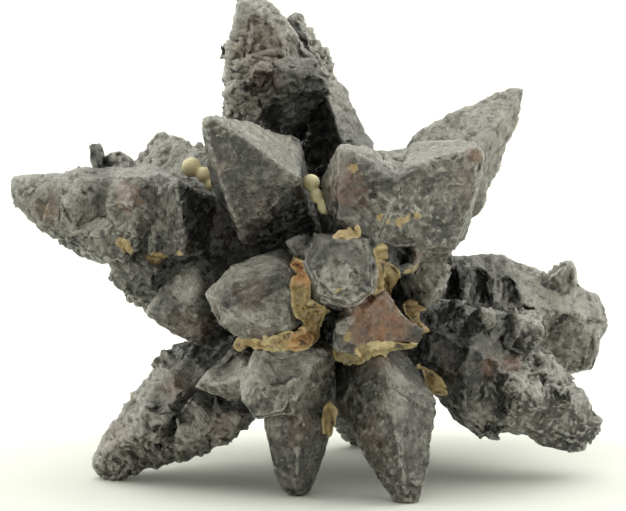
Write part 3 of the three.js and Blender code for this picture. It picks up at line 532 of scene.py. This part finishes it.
# Pale places: place from the heart, radius, strength.
PALE = (
    ((-6.6, -0.5, 13.7), 1.5, 1.0), ((-6.5, 0.5, 16.4), 1.4, 0.9), ((-5.3, -1.1, 13.7), 1.0, 0.6),
    ((-3.5, -4.7, 11.7), 1.6, 0.8), ((-4.9, -6.8, 12.4), 1.6, 0.8), ((7.3, -6.4, 2.0), 1.6, 1.0),
    ((6.9, -8.4, 3.2), 1.1, 0.8), ((7.9, -6.5, 0.6), 1.3, 0.9), ((-6.2, -10.9, -5.0), 1.0, 0.7),
    ((-5.2, -10.8, 3.3), 1.8, 0.8), ((-4.4, -12.3, -0.7), 0.8, 0.9), ((-6.0, -12.2, 0.0), 0.7, 0.8),
    ((-7.6, -10.8, 2.0), 1.2, 0.7), ((-7.2, -9.4, -6.0), 0.9, 0.8), ((-5.6, -12.6, -4.2), 0.8, 0.6),
    ((-12.2, -6.2, 6.2), 1.2, 0.5), ((14.1, -7.7, -5.2), 1.1, 1.1), ((10.8, -6.7, -8.0), 1.0, 0.6),
    ((13.7, -6.0, -8.7), 1.0, 0.7), ((14.1, -4.6, -1.1), 0.8, 1.0), ((11.3, -5.5, -0.8), 0.8, 0.7),
    ((17.3, 8.7, -2.0), 1.9, 0.5), ((18.8, 8.7, -4.3), 1.8, 0.5), ((4.8, -12.9, -5.7), 0.9, 0.7),
    ((5.0, -12.0, -4.1), 0.9, 0.7), ((-16.9, -4.5, 5.3), 1.0, 0.8), ((-17.9, -3.6, 7.6), 1.6, 0.6),
    ((12.0, 3.5, 12.2), 1.6, 0.5),
)
# Thin calcite films: place from the heart, radius.
FILMS = (
    ((-14.2, -5.3, 4.1), 0.42), ((-13.9, -5.2, 3.6), 0.3), ((-12.0, -4.2, 3.1), 0.5),
    ((-11.4, -4.4, 3.3), 0.35), ((-10.1, -7.1, 3.6), 0.3), ((1.9, -11.1, 10.1), 0.34),
    ((3.7, -11.9, 6.7), 0.3), ((4.3, -11.4, 6.5), 0.25), ((5.1, -10.7, 6.3), 0.32),
    ((5.7, -10.5, 6.5), 0.25), ((6.3, -10.3, 6.6), 0.3), ((3.5, -10.4, 5.0), 0.3),
    ((6.5, -8.8, 2.7), 0.4), ((5.9, -9.0, 2.4), 0.4), ((1.5, -11.2, -1.6), 0.22),
    ((8.2, -5.0, -0.2), 0.35), ((1.0, -14.0, 1.9), 0.24), ((-3.2, -12.6, -2.2), 0.3),
)
# A spot's level is 1 in its middle and falls evenly all round.
SPOT_RAGGED = 0.45  # how far noise raises or lowers the level
SPOT_SLOPE = 0.55  # how far the level falls over one radius
SPOT_FADE = 0.6  # level below which the spot fades, until nothing is left at 0


def spots(points, entries, seed):
    """The strongest of several round spots at each point, with ragged rims."""
    ragged = 1 + SPOT_RAGGED * layered_noise(points, 0.6, seed, 3)
    total = np.zeros(len(points))
    for place, radius, strength in entries:
        away = np.linalg.norm(points - np.array(place), axis=1) / radius
        total = np.maximum(total, strength * smooth_step(ragged - SPOT_SLOPE * away, 0, SPOT_FADE))
    return total


FORM_ROUNDS = 26  # rounds of easing that leave only the crystals' large forms
EDGE_ROUNDS = 3  # rounds that take away only the finest edges
TONE_ROUNDS = 10  # rounds that blend the tones and the painted shade of the feet of neighbouring crystals
FORM_UPWARD = 0.7  # weight of the large form in how far a place faces up; the rest is the surface's own
LINE_SHIFT = 3.7  # mm between one crystal's growth lines and the next one's
FOOT_FADE = (0.75, 0.4)  # share of a crystal's length where the painted shade on its foot starts, and where it is full
FOOT_PAINTED_SHADE = 0.9  # how dark the painted shade on a foot is at most, from 0 to 1
HEART_FADE = (12.5, 8.0)  # mm from the heart where painted shade on the stone starts, and where it is full
HEART_PAINTED_SHADE = 0.7  # how dark that painted shade is there, from 0 to 1
PALE_SPARED = 0.9  # how much of that painted shade a pale place is spared


def mark_stone(mesh, surface, owner, along, reached, fineness):
    """Gives the stone the numbers that its material reads, among them the masks of its painted light and
    shade. `fineness` is 1 at the full number of points.
    """
    centred = surface.points - HEART
    rounds = int(FORM_ROUNDS * fineness)
    from_form = surface.points - surface.spread(surface.points, rounds)
    from_edge = surface.points - surface.spread(surface.points, EDGE_ROUNDS)
    facing = surface.spread(surface.outward, rounds)
    facing /= np.linalg.norm(facing, axis=1)[:, None]
    tone = np.array([entry[5] for entry in CRYSTALS.values()])[owner]
    painted_foot_shade = surface.spread(smooth_step(reached, *FOOT_FADE), TONE_ROUNDS)
    painted_foot_shade = FOOT_PAINTED_SHADE * painted_foot_shade * np.clip(2.3 - 1.9 * tone, 0.1, 1)  # less on the palest crystals
    # Painted shade: stone near the heart and on the crystals' feet is darker.
    painted_heart_shade = HEART_PAINTED_SHADE * smooth_step(np.linalg.norm(centred, axis=1), *HEART_FADE)
    pale = spots(centred, PALE, 77)
    marks = {
        "along": along + LINE_SHIFT * owner,
        "tone": surface.spread(tone, TONE_ROUNDS),
        "upward": FORM_UPWARD * facing[:, 2] + (1 - FORM_UPWARD) * surface.outward[:, 2],
        "relief": np.einsum("ij,ij->i", from_form, surface.outward),
        "edge": np.einsum("ij,ij->i", from_edge, surface.outward),
        "pale": pale,
        "painted_deep_shade": np.maximum(painted_heart_shade, painted_foot_shade) * (1 - PALE_SPARED * np.minimum(1, pale)),
        "stain": spots(centred, STAINS, 71),
        "film": spots(centred, [(*entry, 1.0) for entry in FILMS], 81),
    }
    for name, values in marks.items():
        set_attribute(mesh, name, values)


# ------------------------------------------------------------------ material helpers


class Nodes:
    """A material's node tree, built by short calls. Sizes are in mm of the object's own space."""

    def __init__(self, name):
        self.material = bpy.data.materials.new(name)
        self.material.use_nodes = True
        self.tree = self.material.node_tree
        self.shader = self.tree.nodes["Principled BSDF"]
        place = self.tree.nodes.new("ShaderNodeTexCoord").outputs["Object"]
        self.place = self.vector("SCALE", place, scale=1 / MM)

    def link(self, value, socket):
        if isinstance(value, bpy.types.NodeSocket):
            self.tree.links.new(value, socket)
        else:
            socket.default_value = value

    def vector(self, operation, a, b=None, scale=None, output="Vector"):
        node = self.tree.nodes.new("ShaderNodeVectorMath")
        node.operation = operation
        self.link(a, node.inputs[0])
        if b is not None:
            self.link(b, node.inputs[1])
        if scale is not None:
            self.link(scale, node.inputs["Scale"])
        return node.outputs[output]

    def math(self, operation, a, b=0.0):
        node = self.tree.nodes.new("ShaderNodeMath")
        node.operation = operation
        self.link(a, node.inputs[0])
        self.link(b, node.inputs[1])
        return node.outputs[0]

    def attribute(self, name):
        node = self.tree.nodes.new("ShaderNodeAttribute")
        node.attribute_name = name
        return node.outputs["Fac"]

    def noise(self, size, detail, roughness=0.6, distortion=0.0):
        node = self.tree.nodes.new("ShaderNodeTexNoise")
        node.inputs["Scale"].default_value = 1 / size
        node.inputs["Detail"].default_value = detail
        node.inputs["Roughness"].default_value = roughness
        node.inputs["Distortion"].default_value = distortion
        self.link(self.place, node.inputs["Vector"])
        return node.outputs["Fac"]

    def cells(self, size):
        """In cells about `size` mm across: how far the middle is, where it is, and a chance colour."""
        node = self.tree.nodes.new("ShaderNodeTexVoronoi")
        node.inputs["Scale"].default_value = 1 / size
        self.link(self.place, node.inputs["Vector"])
        return node.outputs["Distance"], node.outputs["Position"], node.outputs["Color"]

    def cell_chance(self, size):
        """A chance number in 0..1, the same all over each cell about `size` mm across."""
        _, _, chance = self.cells(size)
        return self.vector("DOT_PRODUCT", chance, (0.33, 0.33, 0.33), output="Value")

    def chips(self, size):
        """Heights of small tilted planes, each in a cell of its own about `size` mm across."""
        _, middle, chance = self.cells(size)
        scaled = self.vector("SCALE", self.place, scale=1 / size)
        offset = self.vector("SUBTRACT", scaled, self.vector("SCALE", middle, scale=1 / size))
        tilt = self.vector("SUBTRACT", chance, (0.5, 0.5, 0.5))
        return self.vector("DOT_PRODUCT", offset, tilt, output="Value")

    def ramp(self, value, low, high, to_low=0.0, to_high=1.0):
        node = self.tree.nodes.new("ShaderNodeMapRange")
        node.interpolation_type = "SMOOTHSTEP"
        for name, number in (("From Min", low), ("From Max", high), ("To Min", to_low), ("To Max", to_high)):
            node.inputs[name].default_value = number
        self.link(value, node.inputs["Value"])
        return node.outputs["Result"]

    def mix(self, share, a, b):
        node = self.tree.nodes.new("ShaderNodeMix")
        node.data_type = "RGBA"
        self.link(share, node.inputs[0])
        self.link(a, node.inputs[6])
        self.link(b, node.inputs[7])
        return node.outputs[2]

    def bump(self, height, distance_mm, strength, below=None):
        node = self.tree.nodes.new("ShaderNodeBump")
        node.inputs["Strength"].default_value = strength
        node.inputs["Distance"].default_value = distance_mm * MM
        self.link(height, node.inputs["Height"])
        if below is not None:
            self.link(below, node.inputs["Normal"])
        return node.outputs["Normal"]


# Noise in the stone's look: size of its features in mm, detail and roughness.
STONE_NOISE = {
    "cloud": (2.6, 5.0, 0.7),
    "mottle": (0.8, 5.0, 0.7),
    "crust": (0.32, 4.0, 0.7),
    "grain": (0.14, 3.0, 0.7),
}
STONE_COLOURS = {
    "dark": (0.020, 0.0175, 0.014, 1), "light": (0.345, 0.322, 0.272, 1),
    "pale mottle": (0.36, 0.34, 0.29, 1), "dark mottle": (0.026, 0.020, 0.016, 1),
    "pale crust": (0.43, 0.41, 0.35, 1), "dark crust": (0.016, 0.013, 0.011, 1),
    # Among these: a pale colour for faces that look up (partly dust, partly painted light), a dark one for
    # faces that look down (painted shade), a pale one for ridges (partly wear, partly painted highlight) and
    # a dark one for hollows (painted shade).
    "dust_and_painted_top_light": (0.42, 0.41, 0.36, 1), "painted_underside_shade": (0.026, 0.022, 0.018, 1),
    "worn_and_highlit_ridge": (0.52, 0.50, 0.44, 1), "painted_hollow_shade": (0.018, 0.015, 0.012, 1),
    # The speck colour is for pale specks, partly the stone's own and partly painted glints.
    "pale place": (0.46, 0.43, 0.365, 1), "pale_speck_and_glint": (0.46, 0.44, 0.38, 1),
    "dark rust": (0.12, 0.048, 0.026, 1), "light rust": (0.38, 0.185, 0.085, 1),
    "dark film": (0.36, 0.22, 0.07, 1), "light film": (0.62, 0.50, 0.25, 1),
}
# Where noise lays another colour over the stone: the noise, its value where the colour begins and where it
# is strongest, its strongest share and the colour.
STONE_PATCHES = (
    ("mottle", 0.5, 0.66, 0.5, "pale mottle"),
    ("mottle", 0.5, 0.36, 0.8, "dark mottle"),
    ("crust", 0.54, 0.68, 0.32, "pale crust"),
    ("crust", 0.47, 0.36, 0.6, "dark crust"),
)
MOST_PAINTED_SHADE = 0.8  # share of its colour that the most deeply painted-shaded stone loses
# Relief that is only shading, each kind over the one before: depth in mm and strength.
STONE_SHADING = {
    "lines": (0.022, 0.5),
    "mottle": (0.45, 0.8),
    "chips": (0.50, 0.8),
    "small chips": (0.18, 0.55),
    "grain": (0.06, 0.7),
}


def growth_lines(n):
    """Fine waves across the crystals' axes, about 0.2 mm apart and strong only in places."""
    waver = n.math("MULTIPLY", n.noise(1.6, 2.0), 8.0)
    angle = n.math("ADD", n.math("MULTIPLY", n.attribute("along"), 30.0), waver)
    return n.math("MULTIPLY", n.math("SINE", angle), n.ramp(n.noise(2.2, 2.0), 0.42, 0.62, 0.1, 1.0))


def bare_stone_colour(n, noises):
    """The stone's colour with painted light on its tops and ridges and painted shade on its undersides and
    hollows, before the painted shade of its recesses and before what lies on it.
    """
    relief, edge, upward = n.attribute("relief"), n.attribute("edge"), n.attribute("upward")
    mottle, grain = noises["mottle"], noises["grain"]
    tone = n.math("MULTIPLY", noises["cloud"], 0.9)
    tone = n.math("ADD", tone, n.math("MULTIPLY", n.attribute("tone"), 0.55))
    tone = n.math("ADD", tone, n.math("MULTIPLY", n.cell_chance(0.35), 0.4))
    colour = n.mix(n.ramp(tone, 0.74, 1.24), STONE_COLOURS["dark"], STONE_COLOURS["light"])
    for noise_name, low, high, most, shade in STONE_PATCHES:
        colour = n.mix(n.ramp(noises[noise_name], low, high, 0.0, most), colour, STONE_COLOURS[shade])
    # Partly dust, partly painted light: faces that look up are paler, as if lit from above.
    dust_and_painted_top_light = n.math("MULTIPLY", n.ramp(upward, 0.0, 0.6), n.ramp(grain, 0.25, 0.6, 0.6, 1.0))
    colour = n.mix(n.math("MULTIPLY", dust_and_painted_top_light, 0.6), colour, STONE_COLOURS["dust_and_painted_top_light"])
    pale = n.math("MULTIPLY", n.attribute("pale"), n.ramp(mottle, 0.36, 0.6, 0.25, 0.9))
    colour = n.mix(pale, colour, STONE_COLOURS["pale place"])
    # Painted shade: faces that look down are darker.
    colour = n.mix(n.ramp(upward, 0.0, -0.6, 0.0, 0.35), colour, STONE_COLOURS["painted_underside_shade"])
    # Ridges and fine edges are paler: partly wear, partly painted highlight.
    worn_and_highlit_ridge = n.math("MAXIMUM", n.ramp(relief, 0.04, 0.18, 0.0, 0.8), n.ramp(edge, 0.005, 0.025, 0.0, 0.85))
    worn_and_highlit_ridge = n.math("MULTIPLY", worn_and_highlit_ridge, n.ramp(grain, 0.3, 0.65, 0.2, 1.0))
    colour = n.mix(worn_and_highlit_ridge, colour, STONE_COLOURS["worn_and_highlit_ridge"])
    # Painted shade: hollows and fine creases are darker.
    painted_hollow_shade = n.math("MAXIMUM", n.ramp(relief, -0.03, -0.2, 0.0, 0.85), n.ramp(edge, -0.008, -0.04, 0.0, 0.8))
    return n.mix(painted_hollow_shade, colour, STONE_COLOURS["painted_hollow_shade"])


def shaded(n, colour):
    """The colour with painted shade: darker deep in the star and where the stone hides the sky, but less so
    in pale places.
    """
    painted_shelter_shade = n.ramp(n.attribute("sheltered"), 0.2, 0.65)
    painted_recess_shade = n.math("MULTIPLY", painted_shelter_shade, n.ramp(n.attribute("pale"), 0.9, 0.1, 0.3, 1.0))
    painted_deep_shade = n.math("MAXIMUM", n.attribute("painted_deep_shade"), painted_recess_shade)
    return n.vector("SCALE", colour, scale=n.math("SUBTRACT", 1.0, n.math("MULTIPLY", painted_deep_shade, MOST_PAINTED_SHADE)))


def coated(n, colour, noises):
    """The colour under rust stains, pale specks that are partly painted glints, and thin calcite films."""
    rust = n.mix(n.noise(0.5, 3.0), STONE_COLOURS["dark rust"], STONE_COLOURS["light rust"])
    drift = n.ramp(n.noise(2.4, 4.0, 0.65, distortion=0.4), 0.56, 0.75, 0.0, 0.3)
    stain = n.math("MAXIMUM", n.math("MULTIPLY", n.attribute("stain"), 0.75), drift)
    colour = n.mix(n.math("MULTIPLY", stain, n.ramp(noises["mottle"], 0.35, 0.6, 0.4, 1.0)), colour, rust)
    # Pale specks in small cells: partly the stone's own, partly painted glints.
    distance, _, _ = n.cells(0.55)
    pale_specks_and_glints = n.math("MULTIPLY", n.ramp(distance, 0.15, 0.07), n.ramp(n.noise(0.9, 2.0), 0.55, 0.65))
    colour = n.mix(pale_specks_and_glints, colour, STONE_COLOURS["pale_speck_and_glint"])
    film_colour = n.mix(n.noise(0.35, 2.0), STONE_COLOURS["dark film"], STONE_COLOURS["light film"])
    film = n.math("ADD", n.attribute("film"), n.math("MULTIPLY", noises["crust"], 0.9))
    return n.mix(n.ramp(film, 0.95, 1.08, 0.0, 0.9), colour, film_colour)


def stone_material():
    n = Nodes("glendonite_stone")
    noises = {name: n.noise(*numbers) for name, numbers in STONE_NOISE.items()}
    colour = coated(n, shaded(n, bare_stone_colour(n, noises)), noises)
    n.link(colour, n.shader.inputs["Base Color"])
    n.link(n.ramp(noises["mottle"], 0.3, 0.7, 0.22, 0.42), n.shader.inputs["Roughness"])
    n.shader.inputs["Specular IOR Level"].default_value = 0.95
    heights = {**noises, "lines": growth_lines(n), "chips": n.chips(0.45), "small chips": n.chips(0.2)}
    normal = None
    for name, (depth, strength) in STONE_SHADING.items():
        normal = n.bump(heights[name], depth, strength, normal)
    n.link(normal, n.shader.inputs["Normal"])
    return n.material


# ------------------------------------------------------------------ the calcite fillings

CALCITE_SWELL = 0.5  # mm that a filling grows to meet the stone beside it
CALCITE_SLIM = 0.3  # mm that it is narrower where no stone is near
CALCITE_SINK = 0.65  # mm that its open face lies deeper, where no stone is near
RIM_REACH = 0.35  # mm from the stone over which the open face climbs up to its rim
WALL_RISE = 0.1  # mm that the walls of its drusy crust stand out of that face
WALL_WIDTH = 0.28  # width over which such a wall falls off, in cells
CRUST_CELL = 1.15  # mm across a cell of the crust
CRUST_WAVER = 0.2  # mm that the walls wander
FILLING_VOXEL, QUICK_FILLING_VOXEL = 0.07, 0.12  # mm
FILLING_TRIANGLES = 24000
# Relief on the sides of the fillings, all over them, and on the round beads instead: depths in mm.
SIDE_RELIEF = {"steps": 0.2, "lumps": 0.12}
FACE_RELIEF = {"chips": 0.06, "grain": 0.015}
BEAD_SWELL = 0.02  # mm that the beads grow
BEAD_RELIEF = {"lumps": 0.03, "grain": 0.006}
# Share of warm orange and of pale cream in each filling's colour.
CALCITE_TINTS = {
    "calcite_seam": (0.1, 0.1), "calcite_band": (0.0, 0.2), "calcite_net": (0.0, 0.05),
    "calcite_strip": (0.1, 0.05), "calcite_low": (0.0, 0.05), "calcite_spot": (0.2, 0.1),
    "calcite_cap": (0.35, 0.4), "calcite_beads": (0.0, 0.8), "calcite_beads_left": (0.1, 0.8),
}
# Warmest places of the fillings: place from the heart, radius, strength.
ORANGE = (((-1.7, -11.2, 3.2), 1.1, 1.0), ((-1.7, -10.9, -1.9), 0.9, 0.8), ((-8.2, -0.4, 7.9), 0.9, 0.8))


def film_cells(points, size, seed):
    """Cells of a drusy crust: 1 on the thin walls between cells and 0 inside them."""
    first = np.full(len(points), np.inf)
    second = np.full(len(points), np.inf)
    for _, offset in cells_around(points / size, seed):
        away = (offset**2).sum(axis=1)
        second = np.minimum(second, np.maximum(first, away))
        first = np.minimum(first, away)
    return 1 - smooth_step(np.sqrt(second) - np.sqrt(first), 0.0, WALL_WIDTH)


def stone_distance(stone_tree, points):
    return np.array([stone_tree.find_nearest(Vector(point * MM))[3] for point in points]) / MM


def build_filling(node, stone_tree):
    bead = "beads" in node
    piece = node_copy(node, node.replace("calcite", "filling"))
    remesh(piece, FILLING_VOXEL)
    surface = Surface(piece.data)
    centred = surface.points - HEART
    radial = centred / np.linalg.norm(centred, axis=1)[:, None]
    walls = film_cells(centred + CRUST_WAVER * noise(centred, 0.5, 97)[:, None], CRUST_CELL, 93)
    patterns = {"lumps": layered_noise(centred, 1.3, 91, 3), "grain": layered_noise(centred, 0.22, 95, 2)}

    def height(relief):
        return sum(depth * patterns[name] for name, depth in relief.items())

    if bead:
        points = surface.spread(surface.points, 12)
        shift = BEAD_SWELL + height(BEAD_RELIEF)
    else:
        patterns["steps"] = facets(centred, 1.4, 87)
        patterns["chips"] = facets(centred, 0.6, 89)
        points = surface.spread(surface.points, 6)
        facing = np.einsum("ij,ij->i", surface.spread(surface.outward, 4), radial)
        side = np.sqrt(np.clip(1 - facing**2, 0, 1))
        beside = surface.spread(smooth_step(stone_distance(stone_tree, points), 0.9, 0.4), 3)
        shift = side * (CALCITE_SWELL * beside - CALCITE_SLIM + height(SIDE_RELIEF)) + height(FACE_RELIEF)
    points = points + surface.outward * shift[:, None]
    rim = surface.spread(smooth_step(stone_distance(stone_tree, points), RIM_REACH, 0.08), 2)
    if not bead:
        points = points - (CALCITE_SINK * (1 - rim) - WALL_RISE * walls)[:, None] * radial
    move_to(piece.data, points)

    warm, cream = CALCITE_TINTS[node]
    turned = 1 - np.einsum("ij,ij->i", surface.spread(surface.outward, 8), radial)
    crests = np.maximum(np.maximum(0.4 * walls, rim), smooth_step(turned, 0.35, 0.8))
    set_attribute(piece.data, "warm", np.maximum(warm, spots(centred, ORANGE, 99)))
    set_attribute(piece.data, "cream", np.full(len(centred), cream))
    set_attribute(piece.data, "walls", np.full(len(centred), 0.5) if bead else crests)
    decimate(piece, FILLING_TRIANGLES)
    piece.data.shade_smooth()
    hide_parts(node)
    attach(piece, "root")
    return piece


CALCITE_COLOURS = {
    "dark": (0.20, 0.135, 0.045, 1), "light": (0.38, 0.27, 0.105, 1),
    "warm": (0.66, 0.33, 0.15, 1), "cream": (0.80, 0.73, 0.44, 1),
    "pale mottle": (0.62, 0.50, 0.27, 1), "dark mottle": (0.12, 0.075, 0.03, 1),
    # The hollow colour is painted shade.
    "painted_hollow_shade": (0.035, 0.026, 0.014, 1), "crest": (0.70, 0.56, 0.30, 1),
}


def calcite_material():
    n = Nodes("calcite_filling")
    cloud = n.noise(1.1, 3.0)
    mottle = n.noise(0.4, 4.0, 0.65)
    grain = n.noise(0.1, 2.0, 0.6)
    walls = n.attribute("walls")
    colour = n.mix(n.ramp(cloud, 0.35, 0.65), CALCITE_COLOURS["dark"], CALCITE_COLOURS["light"])
    # Painted shade: dark patches that stand in for holes in the crust, kept off its walls.
    painted_hole_shade = n.ramp(n.noise(0.8, 3.0, 0.6, distortion=0.5), 0.5, 0.6)
    painted_hole_shade = n.math("MULTIPLY", painted_hole_shade, n.ramp(walls, 0.35, 0.05))
    layers = {
        "warm": n.math("MULTIPLY", n.attribute("warm"), n.ramp(mottle, 0.3, 0.6, 0.6, 1.0)),
        "cream": n.attribute("cream"),
        "pale mottle": n.ramp(mottle, 0.55, 0.75, 0.0, 0.5),
        "dark mottle": n.ramp(mottle, 0.42, 0.25, 0.0, 0.6),
        "painted_hollow_shade": n.math("MULTIPLY", painted_hole_shade, 0.85),
        "crest": n.ramp(walls, 0.35, 1.0, 0.0, 0.65),
    }
    for name, share in layers.items():
        colour = n.mix(share, colour, CALCITE_COLOURS[name])
    n.link(colour, n.shader.inputs["Base Color"])
    n.link(n.ramp(grain, 0.3, 0.7, 0.3, 0.5), n.shader.inputs["Roughness"])
    n.shader.inputs["Subsurface Weight"].default_value = 0.2
    n.shader.inputs["Subsurface Radius"].default_value = (0.6, 0.35, 0.15)
    n.shader.inputs["Subsurface Scale"].default_value = 0.5 * MM
    n.shader.inputs["IOR"].default_value = 1.55
    normal = n.bump(mottle, 0.08, 0.5)
    normal = n.bump(grain, 0.02, 0.5, normal)
    n.link(normal, n.shader.inputs["Normal"])
    return n.material


# ------------------------------------------------------------------ table and light

TABLE_SIZE = 6.0  # m, so that its edges are far out of every view
PALE_LIGHT = (1.0, 1.0, 0.94)  # the colour of all light


def add_table():
    bpy.ops.mesh.primitive_plane_add(size=TABLE_SIZE, location=(0, 0, 0))
    table = bpy.context.object
    table.name = "table"
    n = Nodes("pale_table")
    colour = n.mix(n.noise(60.0, 2.0), (0.88, 0.90, 0.84, 1), (0.91, 0.93, 0.87, 1))
    n.link(colour, n.shader.inputs["Base Color"])
    n.shader.inputs["Roughness"].default_value = 1.0
    n.shader.inputs["Specular IOR Level"].default_value = 0.0
    table.data.materials.append(n.material)


TENT_LIGHT = 0.32  # radiance of the light tent all round
# Soft boxes: strength, angle across in degrees, and tilts from straight overhead in degrees, about the
# picture's x axis (negative is from behind) and its y axis (positive is from the right).
SOFT_BOXES = {
    "overhead": (1.7, 90, -10, 5),
    "left_box": (1.9, 80, -20, -68),
    "right_box": (1.65, 80, -15, 68),
    "back_box": (1.2, 90, -66, 0),
}


def add_light():
    world = bpy.data.worlds.new("light_tent")
    bpy.context.scene.world = world
    world.use_nodes = True
    background = world.node_tree.nodes["Background"]
    background.inputs["Color"].default_value = (*PALE_LIGHT, 1)
    background.inputs["Strength"].default_value = TENT_LIGHT
    for name, (strength, angle, tilt_x, tilt_y) in SOFT_BOXES.items():
        data = bpy.data.lights.new(name, "SUN")
        data.energy = strength
        data.angle = math.radians(angle)
        data.color = PALE_LIGHT
        box = bpy.data.objects.new(name, data)
        box.rotation_euler = (math.radians(tilt_x), math.radians(tilt_y), 0)
        bpy.context.collection.objects.link(box)
    bpy.context.scene.view_settings.view_transform = "Standard"


stone_piece, stone_tree = build_stone()
stone_piece.data.materials.append(stone_material())
calcite = calcite_material()
for node_name in CALCITE_TINTS:
    build_filling(node_name, stone_tree).data.materials.append(calcite)
add_table()
add_light()
